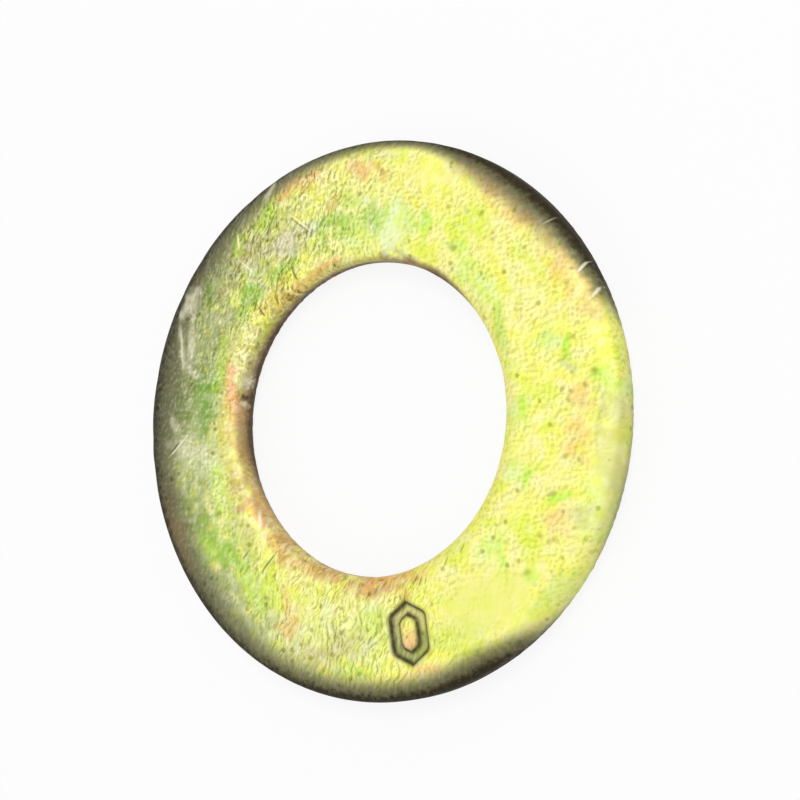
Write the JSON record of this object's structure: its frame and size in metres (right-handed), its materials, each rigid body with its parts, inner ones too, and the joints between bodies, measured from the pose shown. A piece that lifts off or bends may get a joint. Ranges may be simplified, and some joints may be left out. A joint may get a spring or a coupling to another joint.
{
  "type": "hardened flat washer",
  "caption": "Thick round flat washer with a plain bore, one face with softly rolled edges and a small struck frame, the other flat, in yellow-passivated zinc.",
  "frame": {"origin": "on the bore's axis, in the plane of the flat underside", "axes": "+Z along the bore, from the flat underside to the rolled face; +X and +Y lie in the underside"},
  "size_m": [0.0508, 0.0508, 0.0036],
  "materials": {
    "yellow_zinc": "yellow-passivated zinc plating over hardened steel, satin, with green and orange shades"
  },
  "bodies": {
    "root": {"washer": "yellow_zinc"}
  },
  "joints": []
}
